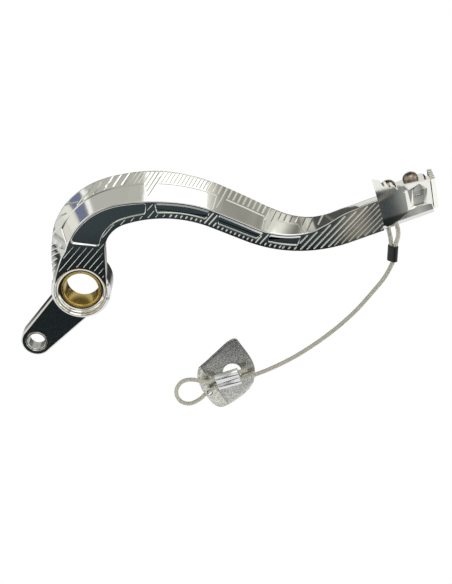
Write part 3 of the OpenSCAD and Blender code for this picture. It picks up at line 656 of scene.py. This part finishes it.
print("stage: cable")
cable = {
    "radius": 1.5, "core": 1.08, "strandRise": 0.13, "lay": 16.0,
    # points from the tip sleeve through the loop at the toe, down to the tab and round its loop
    "route": [(216.05, -7.4, 25), (216.05, -7.4, 29), (215.9, -7.1, 34.6), (215.4, -4.6, 39),
              (214.3, -1.5, 43.5), (213.8, 0.2, 49), (214.2, 0, 54.5), (215.3, -3.6, 57.6),
              (215.4, -8.2, 58.1), (216, -13, 57.4), (217.2, -15.8, 53.6), (218.8, -15.4, 48.5),
              (219.4, -13, 43), (219.1, -10.6, 38.4), (218.5, -9.5, 34), (218.45, -9.4, 29),
              (218.4, -9.3, 24.5), (217.2, -8.7, 20), (212.6, -8.4, 9.4), (204.6, -8.4, -2.3),
              (195, -8.4, -15.2), (185, -8.4, -26.3), (175, -8.4, -35.8), (164.7, -8.4, -44.4),
              (154.4, -8.4, -52), (143.9, -8.4, -58.7), (133.3, -8.4, -64.4), (122.7, -8.4, -69.2),
              (113.3, -8.4, -72.7), (104.6, -8.4, -75.7), (95.9, -8.4, -78.8), (91.2, -8.4, -81.6),
              (87, -7.2, -86), (82, -6.2, -91.6), (75.5, -6.6, -94.8), (69.5, -7.3, -93.3),
              (65.8, -8.3, -87.5), (65.8, -9.3, -80.2), (69.8, -10.2, -74), (76, -11.2, -71.6),
              (84, -11.8, -72.4), (89.2, -10.4, -74), (94, -8.4, -72.9), (102.6, -8.4, -69.9),
              (111.2, -8.4, -66.9), (117.4, -8.4, -64.7)],
}


def spline(points, step):
    # Catmull-Rom: 0.5 (2b + (c-a)u + (2a-5b+4c-d)u^2 + (3b-a-3c+d)u^3)
    p = np.asarray(points, float)
    p = np.vstack([p[0], p, p[-1]])
    out = []
    for i in range(1, len(p) - 2):
        a, b, c, d = p[i - 1], p[i], p[i + 1], p[i + 2]
        k = max(2, int(np.linalg.norm(c - b) / step))
        u = (np.arange(k) / k)[:, None]
        out.append(0.5 * (2 * b + (c - a) * u + (2 * a - 5 * b + 4 * c - d) * u**2
                          + (3 * b - a - 3 * c + d) * u**3))
    out.append(p[-2][None])
    return np.concatenate(out)


def carried(path):
    # a side direction carried along the path without twist
    ahead = np.gradient(path, axis=0)
    ahead /= np.linalg.norm(ahead, axis=1)[:, None]
    side = np.cross(ahead[0], [1.0, 0.2, 0])
    sides = []
    for t in ahead:
        side = side - (side @ t) * t
        side = side / np.linalg.norm(side)
        sides.append(side)
    return ahead, np.array(sides)


def tube(path, radius, sides, turn=0.0):
    # P + r (side cos a + other sin a); r is a number, or a function of the angle before the turn
    ahead, side = carried(path)
    other = np.cross(ahead, side)
    turn = np.broadcast_to(turn, len(path))[:, None]
    a = angles(sides)[None, :] + turn
    r = radius(a - turn) if callable(radius) else np.full(a.shape, radius)
    c, w = np.cos(a)[..., None], np.sin(a)[..., None]
    return path[:, None] + r[..., None] * (c * side[:, None] + w * other[:, None])


def strands(a):
    # six round strands: core + rise |cos 3a|^0.7
    return cable["core"] + cable["strandRise"] * np.abs(np.cos(3 * a)) ** 0.7


path = spline(cable["route"], 1.0)
arc = np.concatenate([[0], np.cumsum(np.linalg.norm(np.diff(path, axis=0), axis=1))])
coat = makeMesh("cableCoat", *loft(tube(path, cable["radius"], 16)), 60)
core = makeMesh("cableCore", *loft(tube(path[1:-1], strands, 36, arc[1:-1] * 2 * math.pi / cable["lay"])), 60)
print("  cable length", round(float(arc[-1]), 1))

print("stage: ferrules")
ferrules = {
    "step": 6.2, "long": 17.8, "at": (103.6, -8.4, -72.8), "slope": 19.2, "waist": 0.72,
    "bore": 1.53, "mouth": 0.42,
    # radius of the barrels and distance from their end, and the radius at the middle
    "ends": [(2.5, 0), (3.0, 0.12), (3.3, 0.6)], "middle": 3.22,
    "strandStep": 3.15, "strandTurn": -40.0, "sleeveAt": (217.25, -8.4, 28.4), "gap": 0.025,
    "crimp": 0.35, "crimpLong": 7.5, "shrink": 0.4, "shrinkLong": 11.6,
}


def eight(r):
    # two circles side by side, each open toward the other by the angle whose sine is the waist
    limit = math.pi - math.asin(ferrules["waist"])
    a = np.linspace(-limit, limit, 24)
    right = np.stack([ferrules["step"] / 2 + r * np.cos(a), r * np.sin(a)], -1)
    return np.concatenate([right, -right])


barrelAt, barrelTurn = ferrules["at"], math.radians(ferrules["slope"])
half, ends = ferrules["long"] / 2, ferrules["ends"]
marks = [(r, q - half) for r, q in ends] + [(ferrules["middle"], 0)] + [(r, half - q) for r, q in ends[::-1]]
rings = [[(along, b, a) for a, b in eight(r)] for r, along in marks]
tabFerrule = leaningMesh("tabFerrule", rings, barrelAt, barrelTurn)
bore, mouth = ferrules["bore"], ferrules["bore"] + ferrules["mouth"]
marks = [(mouth, -half - 0.4), (bore, -half + 0.3), (bore, half - 0.3), (mouth, half + 0.4)]
for k in (-1, 1):
    rings = [[(along, r * math.sin(q), k * ferrules["step"] / 2 + r * math.cos(q)) for q in angles(28)]
             for r, along in marks]
    combine(tabFerrule, leaningMesh("bore", rings, barrelAt, barrelTurn))
smooth(tabFerrule, 40)


def sleeveLoop(grow):
    # half circles round the two strands, turned as the strands lie
    r = cable["radius"] + ferrules["gap"] + grow
    a = np.linspace(-math.pi / 2, math.pi / 2, 16)
    right = np.stack([ferrules["strandStep"] / 2 + r * np.cos(a), r * np.sin(a)], -1)
    turn = math.radians(ferrules["strandTurn"])
    c, w = math.cos(turn), math.sin(turn)
    return np.concatenate([right, -right]) @ np.array([[c, w], [-w, c]])


def sleeveShell(name, inner, outer, long, soft):
    # outer wall from end to end with soft rims, and the inner wall back
    x, y, z = ferrules["sleeveAt"]
    ends = [(-long / 2, -soft), (-long / 2 + 0.15, -soft * 0.3), (-long / 2 + 0.6, 0)]
    marks = ends + [(q, 0.0) for q in np.linspace(-long / 2 + 1.2, long / 2 - 1.2, 9)]
    marks += [(-q, g) for q, g in ends[::-1]]
    rings = [[(x + p, y + q, z + h) for p, q in sleeveLoop(outer + g)] for h, g in marks]
    rings += [[(x + p, y + q, z + h) for p, q in sleeveLoop(inner)] for h in (long / 2, -long / 2)]
    return makeMesh(name, *loft(rings, closed=True))


crimp, over = ferrules["crimp"], ferrules["crimp"] + ferrules["gap"]
tipFerrule = sleeveShell("tipFerrule", 0.0, crimp, ferrules["crimpLong"], 0.1)
tipSleeve = sleeveShell("tipSleeve", over, over + ferrules["shrink"], ferrules["shrinkLong"], 0.25)

print("stage: frame tab")
tab = {
    "at": (83.6, -4.7, -64.6), "angle": -56.2, "thick": 2.0, "wide": 38, "fold": 2.0, "turn": 40.0,
    "lip": 8.5, "hole": 6.8, "holeAt": (16.3, 16.5), "lipHole": 2.7, "lipHoleAt": (19.3, 4.9), "edge": 0.3,
    # corners of the flat plate above the fold and of the lip below it, with the radius of their rounds
    "plate": [(0, -9), (38, -9), (38, 1.5), (37.4, 9.5), (35.9, 17.5), (32.8, 24.2), (27.2, 29.6),
              (20.5, 33.0), (12.9, 34.0), (-5.6, 34.0), (-6.2, 27.6), (-0.2, 1.0)], "plateRound": 4.6,
    "lipShape": [(0, -7), (38, -7), (38, 0.3), (34.5, 6.3), (29, 8.5), (14, 8.5), (4.5, 5.6), (0, 0.3)],
    "lipRound": 3.2,
    # rows across the lip from its edge, and up the plate
    "lipRows": [0, 0.15, 0.5, 1.1, 1.8, 2.6, 3.6, 4.8, 6.0, 7.2, 8.3],
    "plateRows": [*np.linspace(0.2, 24, 16), *np.linspace(25, 33.2, 14), 33.5, 33.75, 33.97],
}
plateLoop, lipLoop = rounded(tab["plate"], tab["plateRound"], 6), rounded(tab["lipShape"], tab["lipRound"], 6)


def spanOf(loop, level):
    # the ends of a loop at one height
    nxt = np.roll(loop, -1, 0)
    hit = (loop[:, 1] - level) * (nxt[:, 1] - level) <= 0
    a, b = loop[hit], nxt[hit]
    d = np.where(np.abs(b[:, 1] - a[:, 1]) < 1e-9, 1, b[:, 1] - a[:, 1])
    x = a[:, 0] + (level - a[:, 1]) / d * (b[:, 0] - a[:, 0])
    return x.min(), x.max()


def tabSheet():
    # rows of the sheet: its two ends along the fold, its middle at (depth, up) and the way it faces
    foldR, half = tab["fold"], tab["thick"] / 2
    turn = math.radians(tab["turn"])
    pivot, down = np.array([-foldR, 0.0]), np.array([-math.sin(turn), -math.cos(turn)])

    def facing(w):
        return np.array([math.cos(w), -math.sin(w)])
    rows = []
    for q in tab["lip"] - 0.02 - np.array(tab["lipRows"]):
        rows.append((*spanOf(lipLoop, q), pivot + (foldR + half) * facing(turn) + q * down, facing(turn)))
    for w in np.linspace(turn, 0, 9)[1:-1]:
        rows.append((0, tab["wide"], pivot + (foldR + half) * facing(w), facing(w)))
    for q in tab["plateRows"]:
        rows.append((*spanOf(plateLoop, q), np.array([half, q]), facing(0)))
    rings = []
    for lo, hi, centre, out in rows:
        u = np.linspace(lo, hi, 20)
        near, far = centre - out * half, centre + out * half
        rings.append([(x, *near) for x in u] + [(x, *far) for x in u[::-1]])
    return rings


def sunk(r, wider, end):
    # radius and depth through the sheet of a hole with a small sink on both faces
    return (r + wider, -0.2), (r, end), (r, tab["thick"] - end), (r + wider, tab["thick"] + 0.2)


tabTurn = math.radians(tab["angle"])
tabObj = leaningMesh("tab", tabSheet(), tab["at"], tabTurn)
u, v = tab["holeAt"]
rings = [[(u + r * math.cos(q), y, v + r * math.sin(q)) for q in angles(56)]
         for r, y in sunk(tab["hole"], 0.5, 0.3)]
combine(tabObj, leaningMesh("boltHole", rings, tab["at"], tabTurn))
u, v = tab["lipHoleAt"]
turn = math.radians(tab["turn"])
c, w = math.cos(turn), math.sin(turn)
rings = []
for r, y in sunk(tab["lipHole"], 0.4, 0.25):
    y += tab["fold"]
    ring = [(u + r * math.cos(q), -v + r * math.sin(q)) for q in angles(56)]
    rings.append([(x, y * c + z * w - tab["fold"], -y * w + z * c) for x, z in ring])
combine(tabObj, leaningMesh("lipHole", rings, tab["at"], tabTurn))
softEdges(tabObj, tab["edge"], 50)
smooth(tabObj, 35)

print("stage: materials")


def node(tree, kind, **values):
    made = tree.nodes.new("ShaderNode" + kind)
    for key, value in values.items():
        made.inputs[key.replace("_", " ")].default_value = value
    return made


def twoTones(tree, *stops):
    # colour ramp with two stops, each a position and a colour
    made = node(tree, "ValToRGB")
    for stop, (at, color) in zip(made.color_ramp.elements, stops):
        stop.position = at
        stop.color = (*color, 1)
    return made


def surface(name, color, metallic, rough, **extra):
    material = bpy.data.materials.new(name)
    material.use_nodes = True
    shader = material.node_tree.nodes["Principled BSDF"]
    shader.inputs["Base Color"].default_value = (*color, 1)
    shader.inputs["Metallic"].default_value = metallic
    shader.inputs["Roughness"].default_value = rough
    for key, value in extra.items():
        shader.inputs[key.replace("_", " ")].default_value = value
    return material


def wear(material, scale, roughFrom, roughTo, bump=0.0, stretch=(1, 1, 1)):
    # noise on object coordinates varies the roughness and gives a faint relief
    tree = material.node_tree
    link, shader = tree.links.new, tree.nodes["Principled BSDF"]
    place, mapping = node(tree, "TexCoord"), node(tree, "Mapping", Scale=stretch)
    noise = node(tree, "TexNoise", Scale=scale, Detail=5)
    rough = node(tree, "MapRange", To_Min=roughFrom, To_Max=roughTo)
    link(place.outputs["Object"], mapping.inputs["Vector"])
    link(mapping.outputs["Vector"], noise.inputs["Vector"])
    link(noise.outputs["Fac"], rough.inputs["Value"])
    link(rough.outputs["Result"], shader.inputs["Roughness"])
    if bump:
        relief = node(tree, "Bump", Strength=bump, Distance=0.0002)
        link(noise.outputs["Fac"], relief.inputs["Height"])
        link(relief.outputs["Normal"], shader.inputs["Normal"])
    return material


def specks(material, scale, dark, pale):
    # dark and pale specks of a tumbled sheet
    tree = material.node_tree
    place, noise = node(tree, "TexCoord"), node(tree, "TexNoise", Scale=scale, Detail=2)
    tones = twoTones(tree, dark, pale)
    tree.links.new(place.outputs["Object"], noise.inputs["Vector"])
    tree.links.new(noise.outputs["Fac"], tones.inputs["Fac"])
    tree.links.new(tones.outputs["Color"], tree.nodes["Principled BSDF"].inputs["Base Color"])
    return material


polished = wear(surface("polishedAlloy", (0.86, 0.86, 0.83), 1, 0.1), 260, 0.06, 0.14)
tipAlloy = wear(surface("tipAlloy", (0.84, 0.84, 0.80), 1, 0.07), 300, 0.05, 0.1)
brass = wear(surface("brass", (0.68, 0.49, 0.14), 1, 0.22), 400, 0.18, 0.3, stretch=(1, 8, 1))
steel = wear(surface("sleeveSteel", (0.62, 0.62, 0.59), 1, 0.25), 500, 0.2, 0.32)
screwSteel = wear(surface("screwSteel", (0.42, 0.36, 0.30), 1, 0.3), 700, 0.24, 0.4, 0.3)
coatClear = surface("cableCoat", (0.88, 0.87, 0.78), 0, 0.15, IOR=1.45, Transmission_Weight=0.5)
wire = surface("wireStrands", (0.86, 0.84, 0.70), 1, 0.3)
drawn = surface("drawnAlloy", (0.86, 0.87, 0.88), 1, 0.2)
rubber = wear(surface("shrinkSleeve", (0.012, 0.012, 0.012), 0, 0.35), 900, 0.28, 0.45, 0.2)
tumbled = wear(surface("tumbledSteel", (0.66, 0.66, 0.63), 1, 0.4), 1300, 0.16, 0.4, 0.5)
specks(tumbled, 800, (0.36, (0.48, 0.48, 0.45)), (0.64, (0.80, 0.80, 0.76)))

for obj, material, slot, nodes in (
        (armObj, polished, "polished_alloy", ["pedal_arm"]), (bush, brass, "bush_brass", ["pivot_bush"]),
        (sleeve, steel, "sleeve_steel", ["pushrod_sleeve"]), (tipObj, tipAlloy, "tip_alloy", ["toe_tip"]),
        (rearScrew, screwSteel, "screw_steel", ["tip_screw_rear"]),
        (frontScrew, screwSteel, "screw_steel", ["tip_screw_front"]),
        (coat, coatClear, "coated_wire", ["safety_cable"]), (core, wire, "coated_wire", []),
        (tipFerrule, drawn, "ferrule_alloy", ["tip_ferrule"]),
        (tipSleeve, rubber, "shrink_sleeve", ["tip_sleeve"]),
        (tabFerrule, drawn, "ferrule_alloy", ["tab_ferrule"]), (tabObj, tumbled, "tab_steel", ["frame_tab"])):
    obj.data.materials.clear()
    obj.data.materials.append(material)
    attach(obj, "root")
    if nodes:
        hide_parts(*nodes)

print("stage: studio")
studio = {
    # height and half width of the floor in metres
    "floor": -0.16, "half": 6,
    # what the floor mirrors into the polished faces, as colours at shares of the way along X
    "stripes": [(0.0, (1.6, 1.6, 1.4)), (0.27, (1.2, 1.2, 1.05)), (0.35, (0.10, 0.11, 0.11)),
                (0.40, (0.035, 0.050, 0.058)), (0.687, (0.035, 0.050, 0.058)), (0.692, (0.04, 0.052, 0.058)),
                (0.699, (0.26, 0.24, 0.19)), (0.716, (0.30, 0.27, 0.22)), (0.722, (0.03, 0.04, 0.048)),
                (0.752, (0.035, 0.048, 0.056)), (0.768, (0.6, 0.6, 0.57)), (0.777, (0.6, 0.6, 0.57)),
                (0.784, (0.03, 0.04, 0.05)), (0.835, (0.03, 0.04, 0.05)), (0.85, (1.2, 1.2, 1.15)),
                (1.0, (1.2, 1.2, 1.15))],
    # where each starts and ends on the floor in metres, and its values there: the shares along X, and along Y
    # the strength of the stripes, the line where they end, and the grey behind it
    "alongX": (-0.6, 0.6, 0, 1), "strength": (-0.48, -0.41, 1.0, 0.3), "stripesEnd": (-0.18, -0.15, 0, 1),
    "grey": (0.22, 0.5, 0.86, 0.04),
    "cloudScale": 2.6, "cloudDark": (0.36, (0.20, 0.20, 0.175)), "cloudPale": (0.66, (0.85, 0.85, 0.78)),
    # middle, size, the point it faces, colour and strength of each card
    "cards": {
        "topCard": ((172, -230, 640), (425, 380), (150, -10, 40), (1, 1, 1), 1.5),
        "rightCard": ((760, -160, 330), (360, 420), (120, 0, 20), (1, 0.99, 0.95), 1.3),
        "frontCard": ((330, -1500, 260), (900, 520), (150, 0, 20), (1, 1, 0.98), 1.0),
        "backLow": ((100, 1200, 180), (2600, 320), (100, 0, 180), (1, 1, 1), 0.05),
        "backMiddle": ((100, 1200, 540), (2600, 360), (100, 0, 540), (1, 1, 0.97), 0.8),
        "backHigh": ((100, 1200, 1000), (2600, 520), (100, 0, 1000), (1, 1, 1), 0.08),
        "skyCard": ((100, 830, 1330), (2600, 560), (100, 0, 60), (1, 1, 1), 0.08),
        "blueCard": ((-535, -5, 335), (170, 120), (0, 0, 60), (0.46, 0.51, 0.82), 0.38),
        "smallCard": ((-480, -40, 435), (150, 60), (0, 0, 60), (1, 1, 1), 1.0),
        "greyCard": ((-330, -110, 590), (330, 320), (0, 0, 60), (1, 1, 0.93), 0.5),
        "lipCard": ((703, -318, -30), (240, 200), (80, -10, -85), (1, 1, 0.97), 1.1),
        "kneeCard": ((-820, 110, 40), (560, 250), (0, 0, 40), (1, 0.99, 0.93), 0.75),
        "leftCard": ((-620, -420, 250), (260, 260), (0, 0, 20), (1, 0.99, 0.95), 1.2),
    },
}


def sheet(name, corners):
    mesh = bpy.data.meshes.new(name)
    mesh.from_pydata(corners, [], [[0, 1, 2, 3]])
    obj = bpy.data.objects.new(name, mesh)
    bpy.context.scene.collection.objects.link(obj)
    return obj


def emptyMaterial(name):
    material = bpy.data.materials.new(name)
    material.use_nodes = True
    material.node_tree.nodes.clear()
    return material


def card(name, centre, size, look, color, strength):
    # a flat glowing card that faces the point look
    centre, look = np.array(centre, float), np.array(look, float)
    n = look - centre
    n /= np.linalg.norm(n)
    u = np.cross([0, 0, 1.0], n) if abs(n[2]) < 0.95 else np.array([1.0, 0, 0])
    u /= np.linalg.norm(u)
    w = np.cross(n, u)
    pts = [centre + a * size[0] / 2 * u + b * size[1] / 2 * w
           for a, b in ((-1, -1), (1, -1), (1, 1), (-1, 1))]
    obj = sheet(name, (np.array(pts) * 0.001).tolist())
    glow = emptyMaterial(name)
    tree = glow.node_tree
    light = node(tree, "Emission", Color=(*color, 1), Strength=strength)
    tree.links.new(light.outputs["Emission"], node(tree, "OutputMaterial").inputs["Surface"])
    obj.data.materials.append(glow)
    return obj


def whiteToCamera(tree, kind, shade, output):
    # the camera sees plain white, reflections and light see the shade
    ray, mix = node(tree, "LightPath"), node(tree, "MixShader")
    white = node(tree, kind, Color=(1, 1, 1, 1), Strength=1.0)
    tree.links.new(ray.outputs["Is Camera Ray"], mix.inputs["Fac"])
    tree.links.new(shade.outputs[0], mix.inputs[1])
    tree.links.new(white.outputs[0], mix.inputs[2])
    tree.links.new(mix.outputs["Shader"], node(tree, output).inputs["Surface"])


def spread(tree, value, limits, smoothStep=True):
    # takes a value from the first two limits to the last two
    made = node(tree, "MapRange", From_Min=limits[0], From_Max=limits[1], To_Min=limits[2], To_Max=limits[3])
    if smoothStep:
        made.interpolation_type = "SMOOTHSTEP"
    tree.links.new(value, made.inputs["Value"])
    return made.outputs["Result"]


a, z = studio["half"], studio["floor"]
floor = sheet("floor", [(-a, -a, z), (a, -a, z), (a, a, z), (-a, a, z)])
paper = emptyMaterial("paper")
tree = paper.node_tree
link = tree.links.new
place, axes, shade = node(tree, "TexCoord"), node(tree, "SeparateXYZ"), node(tree, "Emission")
link(place.outputs["Object"], axes.inputs["Vector"])
stripes = node(tree, "ValToRGB")
stripes.color_ramp.interpolation = "B_SPLINE"
for at, color in studio["stripes"]:
    stripes.color_ramp.elements.new(at).color = (*color, 1)
stripes.color_ramp.elements.remove(stripes.color_ramp.elements[0])
link(spread(tree, axes.outputs["X"], studio["alongX"], False), stripes.inputs["Fac"])
# the stripes are weaker close to the part and end in front of it; the floor behind is pale and then dark
tint, blend = node(tree, "VectorMath"), node(tree, "Mix")
tint.operation = "SCALE"
blend.data_type = "RGBA"
link(stripes.outputs["Color"], tint.inputs[0])
link(spread(tree, axes.outputs["Y"], studio["strength"]), tint.inputs["Scale"])
link(spread(tree, axes.outputs["Y"], studio["grey"]), blend.inputs["B"])
link(spread(tree, axes.outputs["Y"], studio["stripesEnd"]), blend.inputs["Factor"])
link(tint.outputs["Vector"], blend.inputs["A"])
link(blend.outputs["Result"], shade.inputs["Color"])
whiteToCamera(tree, "Emission", shade, "OutputMaterial")
floor.data.materials.append(paper)
[card(name, *values) for name, values in studio["cards"].items()]

# soft light and dark patches all round for the reflections
world = bpy.data.worlds.new("studio")
bpy.context.scene.world = world
world.use_nodes = True
tree = world.node_tree
tree.nodes.clear()
link = tree.links.new
place, room = node(tree, "TexCoord"), node(tree, "Background")
cloud = node(tree, "TexNoise", Scale=studio["cloudScale"], Detail=1.0)
tone = twoTones(tree, studio["cloudDark"], studio["cloudPale"])
link(place.outputs["Generated"], cloud.inputs["Vector"])
link(cloud.outputs["Fac"], tone.inputs["Fac"])
link(tone.outputs["Color"], room.inputs["Color"])
whiteToCamera(tree, "Background", room, "OutputWorld")

# place in millimetres, tilt up from straight down in degrees
camera = {"place": (101.8, -764.25, 375.1), "tilt": 63.5, "lens": 73.97}
cameraData = bpy.data.cameras.new("camera")
cameraObj = bpy.data.objects.new("camera", cameraData)
bpy.context.scene.collection.objects.link(cameraObj)
cameraObj.location = [q * 0.001 for q in camera["place"]]
cameraObj.rotation_euler = (math.radians(camera["tilt"]), 0, 0)
cameraData.lens = camera["lens"]
cameraData.sensor_width = 36
cameraData.sensor_fit = "AUTO"
cameraData.clip_end = 20
bpy.context.scene.camera = cameraObj
bpy.context.scene.view_settings.view_transform = "Standard"
